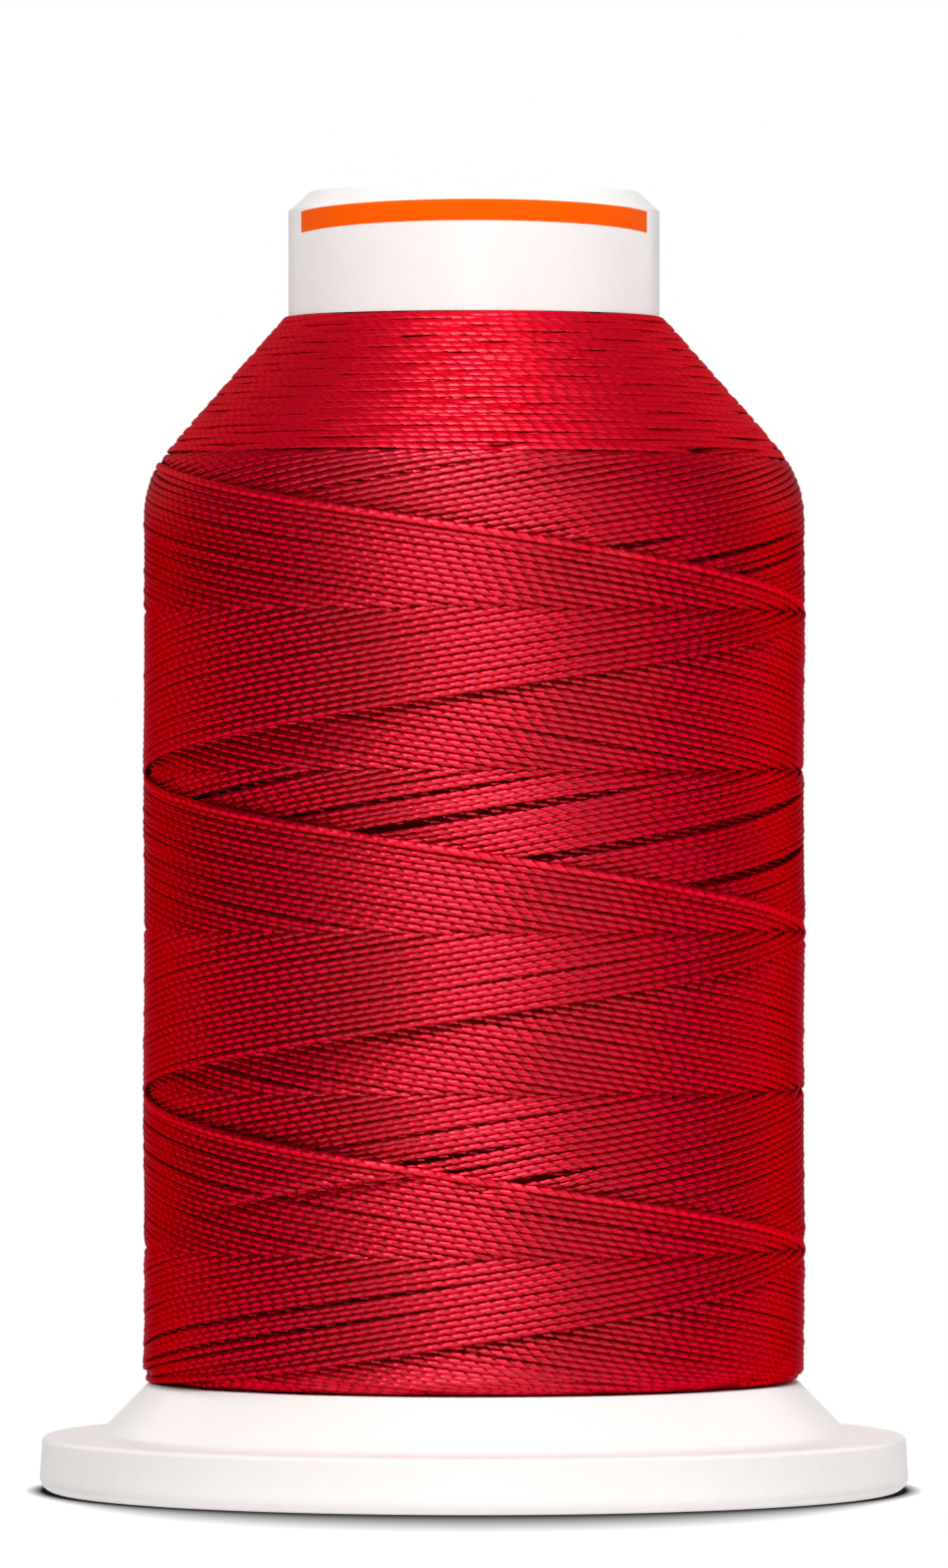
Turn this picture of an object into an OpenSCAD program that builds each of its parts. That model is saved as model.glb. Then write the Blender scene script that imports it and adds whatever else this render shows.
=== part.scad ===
// Foot spool of sewing thread: a hollow tube with a collar, pressed into a
// broad hollow foot, and carrying a cross-wound package of thread.
// Millimetres, +Z up, origin at the centre of the foot's underside.

/* [Spool tube] */
// Height of the whole spool, from the foot's underside to the collar's top
spool_h = 89.5; // [80:0.5:110]
// Height of the collar at the top of the tube
collar_h = 8.6; // [6:0.2:12]
// Diameter of the collar
collar_d = 25.6; // [25:0.2:30]
// Wall of the collar
collar_wall = 2; // [1.8:0.1:2.6]
// Height of the chamfer round the collar's top edge
chamfer_h = 1.3; // [0.4:0.1:2]
// Width of that chamfer
chamfer_w = 1.45; // [0.4:0.05:1.6]
// Diameter of the barrel that the thread is wound on
barrel_d = 19; // [15:0.5:20]
// Wall of the barrel
barrel_wall = 1.6; // [1.2:0.1:2]
// Thickness of the web that closes the barrel under the collar
web_t = 1.6; // [1:0.1:2.4]
// Bore for a machine's spool pin
pin_bore_d = 8; // [6:0.1:9]
// Wall of the sleeve round that bore
sleeve_wall = 1.4; // [1:0.1:2]
// Number of spokes from the sleeve to the collar
spoke_count = 6; // [3:1:8]
// Thickness of a spoke
spoke_t = 1.2; // [0.8:0.1:1.6]
// Depth of the sleeve and spokes below the collar's top
spoke_drop = 1.2; // [0.6:0.1:3]

/* [Foot] */
// Diameter of the foot at the table
foot_d = 60; // [58:0.5:72]
// Height of the foot's rim
rim_h = 3.8; // [3.4:0.1:5]
// Draft of the rim, taken off its radius at the top
rim_draft = 0.24; // [0:0.02:0.5]
// Wall of the rim
rim_wall = 2; // [1.7:0.1:2.6]
// Rounding of the rim's lower edge
rim_edge_r = 1; // [0.3:0.1:1.2]
// Rounding of the rim's upper edge
rim_top_r = 0.4; // [0.1:0.05:0.6]
// Diameter of the foot's cone where it leaves the flange
cone_base_d = 52; // [50:0.5:54]
// Rounding between the cone and the flange
cone_fillet_r = 1.2; // [0.4:0.1:1.6]
// Diameter of the flat seat under the winding
seat_d = 44.8; // [43:0.2:48]
// Height of that seat
seat_h = 7.5; // [6.5:0.1:10]
// Wall of the flange, the cone and the seat
foot_wall = 1.6; // [1.2:0.1:2]
// Wall of the hub that grips the barrel
hub_wall = 1.7; // [1.2:0.1:2.2]
// Thickness of the ledge that the barrel stands on
ledge_t = 1.4; // [1:0.1:2]
// Number of ribs under the foot
rib_count = 8; // [4:1:12]
// Thickness of a rib
rib_t = 1.2; // [0.8:0.1:1.6]
// Clearance from the hub and ribs to the table
rib_clear = 1; // [0.6:0.1:1.4]

/* [Winding] */
// Diameter of the winding
winding_d = 45.6; // [44:0.2:48]
// How far the winding's top edge stands out round the collar
lip_w = 0.2; // [0:0.05:0.8]
// Angle of the winding's top cone from the axis
cone_angle = 41.5; // [38:0.5:46]
// Rounding of the shoulder below that cone
shoulder_r = 7.5; // [5:0.5:10]
// Rounding of the lower edge under the turns
base_edge_r = 0.8; // [0.3:0.1:1.5]
// Least width of the wound layers' top edge round the barrel
top_edge_w = 0.4; // [0.3:0.05:1]
// Diameter of an outer turn
turn_d = 0.6; // [0.45:0.05:0.85]
// Passes of the thread between the foot and the collar
pass_count = 8; // [4:4:8]
// Turns of a pass, before the step that sets the next one beside it
pass_turns = 3; // [2:1:3]

/* [Clearances] */
// Running fit between the barrel and what it carries
fit_gap = 0.1; // [0.05:0.05:0.3]
// Clearance between the wound layers and the outer turns
turn_seat = 0.2; // [0.18:0.02:0.4]
// Clearance between falling and rising turns where they cross
turn_gap = 0.45; // [0.42:0.01:0.6]

/* [Hidden] */
$fn = 96;
arc_steps = 8; // straight pieces in a rounded corner
rings = 24; // rings of points round one turn
sides = 6; // sides of a turn's section
bend_steps = 3; // straight pieces in the bend at each end of the thread

barrel_r = barrel_d / 2;
bore_r = barrel_r - barrel_wall;
collar_r = collar_d / 2;
collar_z = spool_h - collar_h;
pin_r = pin_bore_d / 2;
sleeve_r = pin_r + sleeve_wall;
sleeve_z = spool_h - spoke_drop;

foot_r = foot_d / 2;
rim_in_r = foot_r - rim_wall;
seat_r = seat_d / 2;
cone_base_r = cone_base_d / 2;
hub_in_r = barrel_r + fit_gap;
hub_r = hub_in_r + hub_wall;
ledge_z = rib_clear + ledge_t;
skirt_angle = atan2(seat_h - rim_h, cone_base_r - seat_r);
skirt_inset = foot_wall * tan(skirt_angle / 2); // where parallel inner walls meet

turn_r = turn_d / 2;
low_level = turn_seat + turn_r; // falling turns, above the wound layers
high_level = low_level + turn_d + turn_gap; // rising turns, over the falling ones
build = high_level + turn_r; // depth of the outer turns
wind_r = winding_d / 2;
lip_r = collar_r + lip_w;
core_r = wind_r - build;
core_shoulder_r = shoulder_r - build;
knee_z = collar_z - (wind_r - lip_r) / tan(cone_angle);
shoulder_z = knee_z - shoulder_r * tan(cone_angle / 2); // height of the shoulder's centre
core_lip_r = lip_r - build / cos(cone_angle); // the core's cone, carried up to the collar
core_bore_r = barrel_r + fit_gap;
core_top_r = max(core_lip_r + fit_gap * tan(cone_angle), core_bore_r + top_edge_w);
core_top_z = collar_z - (core_top_r - core_lip_r) / tan(cone_angle);

// The turns run on the core's outline, from path_low_z up to path_high_z
path_low_z = seat_h + turn_seat + turn_r;
path_high_z = collar_z - fit_gap - turn_r - high_level * sin(cone_angle);
wall_len = shoulder_z - path_low_z;
shoulder_len = core_shoulder_r * cone_angle * PI / 180;
cone_start_z = shoulder_z + core_shoulder_r * sin(cone_angle);
cone_len = (path_high_z - cone_start_z) / cos(cone_angle);
path_len = wall_len + shoulder_len + cone_len;
ring_step = 360 / rings;
pass_rings = rings * (pass_turns - 1 / pass_count);
pass_angle = pass_rings * ring_step;
turnback = 2 * ring_step; // half the angle over which a pass turns back
climb = path_len / (pass_angle - turnback); // climb for each degree
bend_r = 1.35 * turn_d;
end_straight = 1.1 * turn_d;

function unit(v) = v / norm(v);

// Points of an arc about c, from angle a0 to a1
function arc(c, r, a0, a1, n = arc_steps) =
    [for (i = [0:n]) let (a = a0 + (a1 - a0) * i / n) c + r * [cos(a), sin(a)]];

// Rounded corner at q between the points p and s
function corner(p, q, s, r) =
    let (
        u = unit(p - q),
        v = unit(s - q),
        half = acos(u * v) / 2,
        c = q + unit(u + v) * r / sin(half),
        from = q + u * r / tan(half) - c,
        to = q + v * r / tan(half) - c,
        a0 = atan2(from[1], from[0]),
        turn = (atan2(to[1], to[0]) - a0 + 540) % 360 - 180
    )
    arc(c, r, a0, a0 + turn);

// Outline whose points [r, z, rounding] become rounded corners
function rounded(outline) =
    let (n = len(outline))
    [
        for (i = [0:n - 1])
            let (
                p = outline[(i + n - 1) % n],
                q = outline[i],
                s = outline[(i + 1) % n]
            )
            each q[2] == 0
                ? [[q[0], q[1]]]
                : corner([p[0], p[1]], [q[0], q[1]], [s[0], s[1]], q[2])
    ];

// Upright rib, whose outline lies in the plane through the axis
module rib(outline, thickness) {
    rotate([90, 0, 0])
        linear_extrude(height = thickness, center = true)
            polygon(outline);
}

module spool_tube() {
    web_z = collar_z + web_t;
    collar_in_r = collar_r - collar_wall;
    spoke_in = pin_r + sleeve_wall / 2;
    spoke_out = collar_r - collar_wall / 2;
    color("white") {
        rotate_extrude()
            polygon(rounded([
                [bore_r, ledge_z, 0],
                [barrel_r, ledge_z, 0],
                [barrel_r, collar_z, 0],
                [collar_r, collar_z, 0],
                [collar_r, spool_h - chamfer_h, 0],
                [collar_r - chamfer_w, spool_h, 0],
                [collar_in_r, spool_h, 0],
                [collar_in_r, web_z, 0.4],
                [sleeve_r, web_z, 0.4],
                [sleeve_r, sleeve_z, 0],
                [pin_r, sleeve_z, 0],
                [pin_r, collar_z, 0],
                [bore_r, collar_z, 0]
            ]));
        for (i = [0:spoke_count - 1])
            rotate(i * 360 / spoke_count)
                rib([
                    [spoke_in, collar_z + web_t / 2],
                    [spoke_out, collar_z + web_t / 2],
                    [spoke_out, sleeve_z],
                    [spoke_in, sleeve_z]
                ], spoke_t);
    }
}

module spool_foot() {
    under_seat_z = seat_h - foot_wall;
    under_flange_z = rim_h - foot_wall;
    half_wall = foot_wall / 2;
    half_inset = skirt_inset / 2;
    color("white") {
        rotate_extrude()
            polygon(rounded([
                [rim_in_r, 0, 0],
                [foot_r, 0, rim_edge_r],
                [foot_r - rim_draft, rim_h, rim_top_r],
                [cone_base_r, rim_h, cone_fillet_r],
                [seat_r, seat_h, 0.2],
                [hub_in_r, seat_h, 0],
                [hub_in_r, ledge_z, 0],
                [bore_r, ledge_z, 0],
                [bore_r, rib_clear, 0],
                [hub_r, rib_clear, 0],
                [hub_r, under_seat_z, 0],
                [seat_r - skirt_inset, under_seat_z, 0],
                [cone_base_r - skirt_inset, under_flange_z, 0],
                [rim_in_r, under_flange_z, 0]
            ]));
        for (i = [0:rib_count - 1])
            rotate(i * 360 / rib_count)
                rib([
                    [hub_r - hub_wall / 2, rib_clear],
                    [foot_r - rim_wall / 2, rib_clear],
                    [foot_r - rim_wall / 2, rim_h - half_wall],
                    [cone_base_r - half_inset, rim_h - half_wall],
                    [seat_r - half_inset, seat_h - half_wall],
                    [hub_r - hub_wall / 2, seat_h - half_wall]
                ], rib_t);
    }
}

module wound_layers() {
    color("firebrick")
        rotate_extrude()
            polygon([
                [core_bore_r, seat_h],
                each corner([0, seat_h], [core_r, seat_h], [core_r, shoulder_z], base_edge_r),
                each arc([core_r - core_shoulder_r, shoulder_z], core_shoulder_r, 0, cone_angle),
                [core_top_r, core_top_z],
                [core_bore_r, core_top_z]
            ]);
}

// Point [r, z] and outward slope of the core's outline, at a length along it
function on_core(s) =
    s < wall_len ? [core_r, path_low_z + s, 0]
    : s < wall_len + shoulder_len
        ? let (a = (s - wall_len) / core_shoulder_r * 180 / PI)
            [
                core_r - core_shoulder_r * (1 - cos(a)),
                shoulder_z + core_shoulder_r * sin(a),
                a
            ]
        : let (t = s - wall_len - shoulder_len)
            [
                core_r - core_shoulder_r * (1 - cos(cone_angle)) - t * sin(cone_angle),
                cone_start_z + t * cos(cone_angle),
                cone_angle
            ];

// Place and outward normal of the thread, at an angle, a length and a level
function on_path(angle, s, level) =
    let (
        m = on_core(s),
        n = [cos(m[2]) * cos(angle), cos(m[2]) * sin(angle), sin(m[2])]
    )
    [[m[0] * cos(angle), m[0] * sin(angle), m[1]] + level * n, n];

// Length along the outline at an angle of the winding, which turns back at each
// end of a pass
function pass_height(angle) =
    let (
        pass = floor(angle / pass_angle),
        part = angle - pass * pass_angle,
        rising = pass % 2 == 0,
        from_end = min(part, pass_angle - part),
        travel = from_end < turnback
            ? climb * from_end * from_end / (2 * turnback)
            : climb * (from_end - turnback / 2),
        near_start = part < pass_angle / 2
    )
    near_start == rising ? travel : path_len - travel;

// Level of the thread: rising passes lie over falling ones, and they change at
// the ends
function pass_level(angle) =
    let (
        pass = floor(angle / pass_angle),
        part = angle - pass * pass_angle,
        side = pass % 2 == 0 ? 1 : -1,
        edge = min(part, pass_angle - part, turnback) / turnback
    )
    (low_level + high_level) / 2 + side * sin(90 * edge) * (high_level - low_level) / 2;

// Bend that brings an end of the thread down to the seat, first point lowest.
// side is 1 where the thread starts and -1 where it ends.
function end_bend(angle, side) =
    let (
        mm_per_degree = (core_r + low_level) * PI / 180,
        lean = atan2(climb, mm_per_degree),
        height = pass_height(angle),
        back = bend_r * tan((90 - lean) / 2),
        c = [bend_r, height - back]
    )
    [
        on_path(angle, -turn_seat - turn_r, low_level),
        on_path(angle, end_straight - turn_seat - turn_r, low_level),
        for (i = [0:bend_steps])
            let (
                a = 180 - (90 - lean) * i / bend_steps,
                p = c + bend_r * [cos(a), sin(a)]
            )
            on_path(angle + side * p[0] / mm_per_degree, p[1], low_level)
    ];

function reversed(v) = [for (i = [len(v) - 1:-1:0]) v[i]];

// The thread's path: its start at the seat, the passes, and its end at the seat
function thread_path() =
    let (
        first = turnback,
        last = pass_count * pass_angle - turnback
    )
    [
        each end_bend(first, 1),
        for (a = [first + ring_step:ring_step:last - ring_step])
            on_path(a, pass_height(a), pass_level(a)),
        each reversed(end_bend(last, -1))
    ];

// Least distance between parts of the path that don't follow each other, taken
// at its points and halfway between them, less the thread's own diameter
function least_gap(path) =
    let (
        n = len(path),
        p = [
            for (i = [0:n - 1])
                each i < n - 1
                    ? [path[i][0], (path[i][0] + path[i + 1][0]) / 2]
                    : [path[i][0]]
        ],
        apart = 4 * bend_steps
    )
    min([
        for (i = [0:len(p) - apart - 1])
            min([for (j = [i + apart:len(p) - 1]) norm(p[i] - p[j])])
    ]) - turn_d;

// Tube of triangles swept along [place, normal] pairs
module swept_thread(path, r) {
    n = len(path);
    points = [
        for (i = [0:n - 1])
            let (
                ahead = path[min(i + 1, n - 1)][0],
                behind = path[max(i - 1, 0)][0],
                t = unit(ahead - behind),
                b = unit(cross(t, path[i][1])),
                up = cross(b, t)
            )
            for (k = [0:sides - 1])
                let (a = (k + 0.5) * 360 / sides)
                path[i][0] + r * (cos(a) * up + sin(a) * b)
    ];
    faces = [
        for (i = [0:n - 2])
            for (k = [0:sides - 1])
                let (
                    here = i * sides,
                    next = here + sides,
                    k2 = (k + 1) % sides
                )
                each [
                    [here + k, next + k, next + k2],
                    [here + k, next + k2, here + k2]
                ],
        for (k = [1:sides - 2]) each [
            [0, k, k + 1],
            [(n - 1) * sides, (n - 1) * sides + k + 1, (n - 1) * sides + k]
        ]
    ];
    polyhedron(points, faces);
}

module outer_turns() {
    path = thread_path();
    echo(least_gap_between_turns = least_gap(path));
    color("crimson") swept_thread(path, turn_r);
}

spool_tube();
spool_foot();
wound_layers();
outer_turns();
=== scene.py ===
import math

import bmesh
import bpy
import numpy as np
from mathutils import Matrix, Vector


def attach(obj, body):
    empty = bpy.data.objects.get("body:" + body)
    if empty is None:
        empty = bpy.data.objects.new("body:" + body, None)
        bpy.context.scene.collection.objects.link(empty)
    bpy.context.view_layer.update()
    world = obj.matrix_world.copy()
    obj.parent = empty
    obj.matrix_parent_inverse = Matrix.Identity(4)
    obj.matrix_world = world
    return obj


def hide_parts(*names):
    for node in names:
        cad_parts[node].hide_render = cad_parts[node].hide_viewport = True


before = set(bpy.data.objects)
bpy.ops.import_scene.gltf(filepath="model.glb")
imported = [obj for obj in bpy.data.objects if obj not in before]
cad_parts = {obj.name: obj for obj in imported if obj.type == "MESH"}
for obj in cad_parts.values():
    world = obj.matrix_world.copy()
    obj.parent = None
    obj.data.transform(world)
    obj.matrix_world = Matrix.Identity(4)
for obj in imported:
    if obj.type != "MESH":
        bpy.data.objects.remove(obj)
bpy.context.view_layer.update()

scene = bpy.context.scene
scene.view_settings.view_transform = "Standard"


# --- Camera -----------------------------------------------------------------
# A long lens, level with the middle of the spool, which stands upright before
# it with its axis in the middle of the frame.
CAMERA_DISTANCE = 0.826
CAMERA_HEIGHT = 0.0487
LENS_MM = 274.8
FILM_MM = 36  # along the frame's long side

camera_data = bpy.data.cameras.new("camera")
camera_data.sensor_width = FILM_MM
camera_data.lens = LENS_MM
camera_data.clip_start = 0.05
camera_data.clip_end = 10
camera = bpy.data.objects.new("camera", camera_data)
scene.collection.objects.link(camera)
camera.location = (0, -CAMERA_DISTANCE, CAMERA_HEIGHT)
camera.rotation_euler = (math.radians(90), 0, 0)
scene.camera = camera


# --- Foot -------------------------------------------------------------------
# The spool's foot: one injection moulding in glossy white plastic, a broad rim
# round a flange, and a cone that rises to the seat under the winding.
MM = 0.001  # sizes below are in millimetres, and angles in degrees
WHITE_LOW = (0.84, 0.80, 0.785, 1)
WHITE_HIGH = (0.88, 0.84, 0.825, 1)
PLASTIC_IOR = 1.49


def new_material(name):
    material = bpy.data.materials.new(name)
    material.use_nodes = True
    material.node_tree.nodes.clear()
    return material


def set_socket(tree, socket, value):
    """Link a socket to another node's output, or give it a value."""
    if isinstance(value, bpy.types.NodeSocket):
        tree.links.new(value, socket)
    else:
        socket.default_value = value


def add_node(tree, kind, inputs=None, **settings):
    node = tree.nodes.new(kind)
    for key, value in settings.items():
        setattr(node, key, value)
    for key, value in (inputs or {}).items():
        set_socket(tree, node.inputs[key], value)
    return node


def maths(tree, operation, *values):
    node = add_node(tree, "ShaderNodeMath", operation=operation)
    for socket, value in zip(node.inputs, values):
        set_socket(tree, socket, value)
    return node.outputs[0]


def ramp(tree, value, from_low, from_high, to_low, to_high):
    """Value carried from one range to another, and held at its ends."""
    inputs = {0: value, 1: from_low, 2: from_high, 3: to_low, 4: to_high}
    return add_node(tree, "ShaderNodeMapRange", inputs).outputs[0]


def mix_colours(tree, amount, first, second):
    node = add_node(tree, "ShaderNodeMix", data_type="RGBA")
    for index, value in ((0, amount), (6, first), (7, second)):
        set_socket(tree, node.inputs[index], value)
    return node.outputs[2]


def object_place(tree):
    return add_node(tree, "ShaderNodeTexCoord").outputs["Object"]


def add_surface(tree, shader):
    add_node(tree, "ShaderNodeOutputMaterial", {"Surface": shader.outputs[0]})


def moulded_plastic():
    """Glossy white plastic with a faint mottle and the ripple of its flow."""
    material = new_material("moulded_white_plastic")
    tree = material.node_tree
    place = object_place(tree)
    mottle = add_node(tree, "ShaderNodeTexNoise", {"Vector": place, "Scale": 900.0, "Detail": 3.0})
    ripple = add_node(tree, "ShaderNodeTexNoise", {"Vector": place, "Scale": 140.0, "Detail": 2.0})
    grain = add_node(
        tree, "ShaderNodeBump",
        {"Strength": 0.15, "Distance": 0.02 * MM, "Height": mottle.outputs["Fac"]},
    )
    flow = add_node(
        tree, "ShaderNodeBump",
        {"Strength": 0.25, "Distance": 0.05 * MM, "Height": ripple.outputs["Fac"],
         "Normal": grain.outputs[0]},
    )
    shader = add_node(
        tree, "ShaderNodeBsdfPrincipled",
        {"Base Color": mix_colours(tree, mottle.outputs["Fac"], WHITE_LOW, WHITE_HIGH),
         "Roughness": ramp(tree, ripple.outputs["Fac"], 0.3, 0.7, 0.3, 0.42),
         "IOR": PLASTIC_IOR, "Specular IOR Level": 0.5, "Normal": flow.outputs[0]},
    )
    add_surface(tree, shader)
    return material


white_plastic = moulded_plastic()
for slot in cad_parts["spool_foot"].material_slots:
    slot.material = white_plastic


# --- Tube -------------------------------------------------------------------
# The hollow tube that the thread is wound on, and its collar above the
# winding: the same white moulding plastic as the foot, pressed into it.
COLLAR_R = 12.8
COLLAR_EDGE_Z = 88.2  # where the chamfer round the collar's top starts
CHAMFER_SLOPE = 1.45 / 1.3  # the chamfer's width over its height

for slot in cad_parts["spool_tube"].material_slots:
    slot.material = white_plastic


# --- Stripe -----------------------------------------------------------------
# A band of orange ink printed on the front of the collar with square ends. The
# lettering that stands under such a band is left off, and the place is bare.
STRIPE_LOW_Z = 86.52
STRIPE_HIGH_Z = 87.98
STRIPE_BOW = 0.5  # the band is printed higher in the middle, on to the chamfer
STRIPE_HALF_ANGLE = 67.6
STRIPE_ROWS = 30
STRIPE_STEPS = 72
INK_DEPTH = 0.018
INK_SUNK = 0.02  # the band's back lies this deep in the collar
INK_ORANGE = (0.97, 0.095, 0.0, 1)
INK_SPECK = (0.92, 0.11, 0.0, 1)


def link_mesh(name, shape):
    mesh = bpy.data.meshes.new(name)
    shape.to_mesh(mesh)
    shape.free()
    piece = bpy.data.objects.new(name, mesh)
    scene.collection.objects.link(piece)
    return piece


def smooth_shade(piece):
    piece.data.polygons.foreach_set("use_smooth", [True] * len(piece.data.polygons))


def orange_ink():
    """Opaque satin ink with faint specks."""
    material = new_material("orange_stripe_ink")
    tree = material.node_tree
    speck = add_node(
        tree, "ShaderNodeTexNoise", {"Vector": object_place(tree), "Scale": 2500.0, "Detail": 2.0}
    )
    film = add_node(
        tree, "ShaderNodeBump",
        {"Strength": 0.2, "Distance": 0.01 * MM, "Height": speck.outputs["Fac"]},
    )
    shader = add_node(
        tree, "ShaderNodeBsdfPrincipled",
        {"Base Color": mix_colours(tree, speck.outputs["Fac"], INK_ORANGE, INK_SPECK),
         "Roughness": 0.6, "Specular IOR Level": 0.03, "Normal": film.outputs[0]},
    )
    add_surface(tree, shader)
    return material


shape = bmesh.new()
stripe_in = (COLLAR_R - INK_SUNK) * MM
stripe_out = (COLLAR_R + INK_DEPTH) * MM
stripe_z = np.linspace(STRIPE_LOW_Z, STRIPE_HIGH_Z, STRIPE_ROWS)
inner = [shape.verts.new((stripe_in, 0, z * MM)) for z in stripe_z]
outer = [shape.verts.new((stripe_out, 0, z * MM)) for z in stripe_z]
band = [
    shape.faces.new((inner[row], outer[row], outer[row + 1], inner[row + 1]))
    for row in range(STRIPE_ROWS - 1)
]
bmesh.ops.rotate(
    shape, verts=shape.verts, cent=(0, 0, 0),
    matrix=Matrix.Rotation(math.radians(-90 - STRIPE_HALF_ANGLE), 3, "Z"),
)
bmesh.ops.spin(
    shape, geom=band, cent=(0, 0, 0), axis=(0, 0, 1),
    angle=math.radians(2 * STRIPE_HALF_ANGLE), steps=STRIPE_STEPS, use_duplicate=False,
)
for vert in shape.verts:
    from_middle = math.atan2(vert.co.x, -vert.co.y) / math.radians(STRIPE_HALF_ANGLE)
    vert.co.z += STRIPE_BOW * MM * (1 - from_middle ** 2)
    over_edge = max(vert.co.z - COLLAR_EDGE_Z * MM, 0) * CHAMFER_SLOPE
    radius = math.hypot(vert.co.x, vert.co.y)
    vert.co.x *= 1 - over_edge / radius
    vert.co.y *= 1 - over_edge / radius
bmesh.ops.recalc_face_normals(shape, faces=shape.faces)
stripe = link_mesh("collar_stripe", shape)
stripe.data.materials.append(orange_ink())
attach(stripe, "root")


# --- Winding: packed layers -------------------------------------------------
# Thread, wound on the tube into a package with a straight side, a rounded
# shoulder and a cone up to the collar. Under the turns that show, the packed
# layers are one body of the same thread, its red darkened as painted shade.
BARREL_R = 9.5
BORE_GAP = 0.1
PACKAGE_R = 22.8
SEAT_Z = 7.5
SEAT_GAP = 0.05
COLLAR_Z = 80.9
SHOULDER_Z = 67.0
SHOULDER_R = 7.5
CONE_ANGLE = math.radians(41.5)
CORE_DEPTH = 0.85  # from the package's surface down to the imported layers
CONE_CORE_DEPTH = 0.17
CORE_DEPTH_Z = (70, 76)  # over these heights one depth becomes the other
CORE_EDGE = 0.8
CORE_TOP_GAP = 0.3
CORE_TOP_RISE = 0.2  # of the core's top face towards the tube
CORE_STEPS = 128
SIDE_ROWS = 24
CONE_ROWS = 40
# Painted shade: the packed thread is coloured far darker than the turns' red.
PACKED_SHADE_LOW = (0.05, 0.0, 0.001, 1)
PACKED_SHADE_HIGH = (0.14, 0.001, 0.004, 1)


def outline_at(length):
    """Radius, height and outward slope of the package at a length up its outline."""
    turned = np.clip((length - SHOULDER_Z) / SHOULDER_R, 0, CONE_ANGLE)
    up_cone = np.maximum(length - SHOULDER_Z - SHOULDER_R * CONE_ANGLE, 0)
    radius = PACKAGE_R - SHOULDER_R * (1 - np.cos(turned)) - up_cone * math.sin(CONE_ANGLE)
    height = (
        np.minimum(length, SHOULDER_Z)
        + SHOULDER_R * np.sin(turned)
        + up_cone * math.cos(CONE_ANGLE)
    )
    return radius, height, turned


def length_at(height):
    """Length up the package's outline at a height."""
    cone_z = SHOULDER_Z + SHOULDER_R * math.sin(CONE_ANGLE)
    turned = np.arcsin(np.clip((height - SHOULDER_Z) / SHOULDER_R, 0, math.sin(CONE_ANGLE)))
    round_part = np.where(height < SHOULDER_Z, height, SHOULDER_Z + SHOULDER_R * turned)
    cone_part = SHOULDER_Z + SHOULDER_R * CONE_ANGLE + (height - cone_z) / math.cos(CONE_ANGLE)
    return np.where(height > cone_z, cone_part, round_part)


def packed_thread_painted_shade():
    """Thread under the turns: fine level ridges, in a dark red that is painted shade."""
    material = new_material("packed_thread_painted_shade")
    tree = material.node_tree
    bands = add_node(
        tree, "ShaderNodeTexWave",
        {"Vector": object_place(tree), "Scale": 350.0, "Distortion": 1.5, "Detail": 2.0},
        bands_direction="Z",
    )
    ridge = add_node(
        tree, "ShaderNodeBump",
        {"Strength": 1.0, "Distance": 0.1 * MM, "Height": bands.outputs["Fac"]},
    )
    shader = add_node(
        tree, "ShaderNodeBsdfPrincipled",
        {"Base Color": mix_colours(tree, bands.outputs["Fac"], PACKED_SHADE_LOW, PACKED_SHADE_HIGH),
         "Roughness": 0.7, "Specular IOR Level": 0.05,
         "Specular Tint": (0.3, 0.01, 0.02, 1), "Normal": ridge.outputs[0]},
    )
    add_surface(tree, shader)
    return material


low_length = SEAT_Z + CORE_DEPTH
high_length = float(length_at(np.array(COLLAR_Z))) - CORE_TOP_GAP
rows = np.concatenate([
    np.linspace(low_length, SHOULDER_Z, SIDE_ROWS),
    np.linspace(SHOULDER_Z, high_length, CONE_ROWS)[1:],
])
core_r, core_z, core_slope = outline_at(rows)
core_depth = np.interp(core_z, CORE_DEPTH_Z, (CORE_DEPTH, CONE_CORE_DEPTH))
core_r = core_r - core_depth * np.cos(core_slope)
core_z = core_z - core_depth * np.sin(core_slope)
profile = [
    (BARREL_R + BORE_GAP, SEAT_Z + SEAT_GAP),
    (core_r[0] - CORE_EDGE, SEAT_Z + SEAT_GAP),
    *zip(core_r, core_z),
    (BARREL_R + BORE_GAP, core_z[-1] + CORE_TOP_RISE),
]
shape = bmesh.new()
ring = [shape.verts.new((r * MM, 0, z * MM)) for r, z in profile]
edges = [shape.edges.new(pair) for pair in zip(ring, ring[1:] + ring[:1])]
bmesh.ops.spin(
    shape, geom=ring + edges, cent=(0, 0, 0), axis=(0, 0, 1),
    angle=2 * math.pi, steps=CORE_STEPS, use_merge=True, use_duplicate=False,
)
bmesh.ops.remove_doubles(shape, verts=shape.verts, dist=1e-7)
bmesh.ops.recalc_face_normals(shape, faces=shape.faces)
core = link_mesh("packed_layers", shape)
smooth_shade(core)
core.data.materials.append(packed_thread_painted_shade())
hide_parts("wound_layers")
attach(core, "root")


# --- Winding: laying the turns ----------------------------------------------
# The thread's newest layer, laid turn by turn as a winder lays it: it falls in
# three turns from the collar's end to the foot and rises in three more, and
# each time it comes round it lies beside its last course. Every turn rests on
# what lies under it and presses it down, so later turns cross over earlier ones.
THREAD_HALF_WIDTH = 0.235
THREAD_HALF_DEPTH = 0.19
FLAT_HALF_WIDTH = 0.28  # on the cone the thread is pulled flatter
FLAT_HALF_DEPTH = 0.09
TURN_RINGS = 192  # rings of points in one turn
RING_STEP = 360 / TURN_RINGS
PITCH = 21.886  # climb of one turn
CLIMB = PITCH / 360
COURSES = 48  # times that the thread falls and rises before it meets itself
COURSE_STEP = 360 / COURSES
PASS_RINGS = 3 * TURN_RINGS + 2
LOW_APEX = 5.74  # where straight passes would meet, below and above
HIGH_APEX = 71.62
LOW_TURNBACK = 68  # degrees over which a pass turns back
HIGH_TURNBACK = 30
NEWEST_START = -95.76
FALLING_LINE = HIGH_APEX + CLIMB * NEWEST_START
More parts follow.
